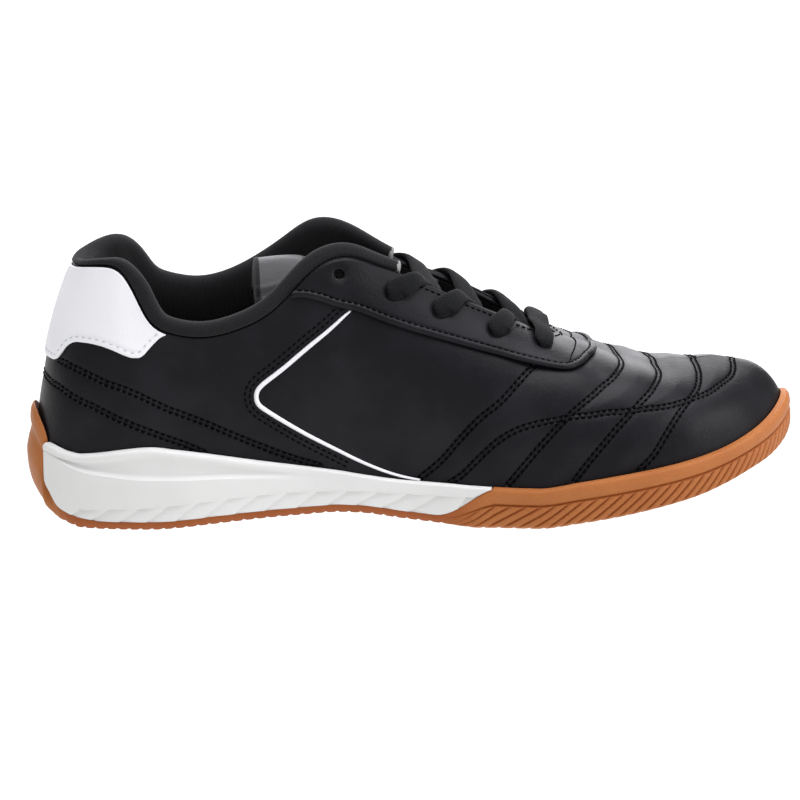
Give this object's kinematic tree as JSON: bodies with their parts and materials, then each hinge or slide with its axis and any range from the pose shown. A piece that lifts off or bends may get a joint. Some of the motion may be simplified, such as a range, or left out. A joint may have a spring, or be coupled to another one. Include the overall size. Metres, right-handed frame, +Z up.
{
  "type": "indoor court shoe",
  "caption": "Low right court shoe with gum outsole, white foam midsole, black leather upper, padded collar, tongue and flat lace, worn on the foot for indoor sport.",
  "frame": {"origin": "on the floor under the middle of the shoe's length and width", "axes": "+X to the toe, +Y to the medial (big toe) side, +Z up from the floor"},
  "size_m": [0.2964, 0.1013, 0.108],
  "materials": {
    "gum_rubber": "satin moulded gum rubber",
    "white_foam": "matt moulded foam",
    "insole_cloth": "matt cloth",
    "black_leather": "smooth satin coated leather",
    "tongue_leather": "smooth satin coated leather",
    "black_knit": "matt padded knit",
    "white_leather": "smooth satin coated leather",
    "black_lace": "matt flat woven cord"
  },
  "bodies": {
    "root": {"outsole": "gum_rubber", "midsole": "white_foam", "insole": "insole_cloth", "upper": "black_leather", "tongue": "tongue_leather", "collar": "black_knit", "eyestay": "black_leather", "heel_tab": "white_leather", "piping_lateral": "white_leather", "piping_medial": "white_leather", "lace_bar": "black_lace", "lace_cross_1": "black_lace", "lace_cross_2": "black_lace", "lace_cross_3": "black_lace"}
  },
  "joints": []
}
